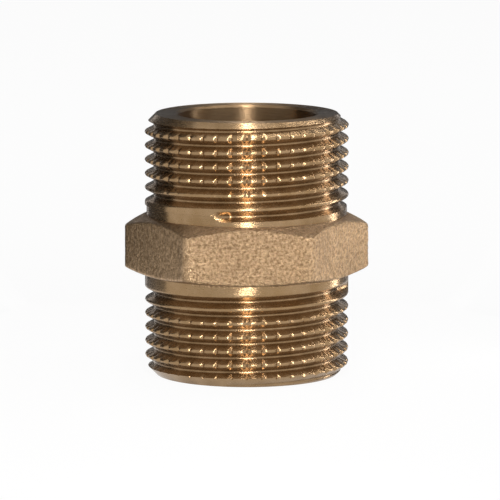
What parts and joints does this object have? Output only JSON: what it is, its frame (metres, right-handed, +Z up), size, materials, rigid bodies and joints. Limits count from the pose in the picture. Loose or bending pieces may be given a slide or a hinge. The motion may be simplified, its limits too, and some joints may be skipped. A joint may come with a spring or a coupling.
{
  "type": "hex nipple",
  "caption": "Male to male pipe nipple: a hexagon collar between parallel threaded spigots, with a straight through bore.",
  "frame": {"origin": "centre of the lower end face", "axes": "+Z up the bore's axis, towards the longer spigot; two hexagon flats face -Y and +Y, and two corners lie on X"},
  "size_m": [0.0318, 0.028, 0.034],
  "materials": {
    "brass": "turned threads and end faces, shot-blasted forged hexagon flats"
  },
  "bodies": {
    "root": {"nipple_body": "brass"}
  },
  "joints": []
}
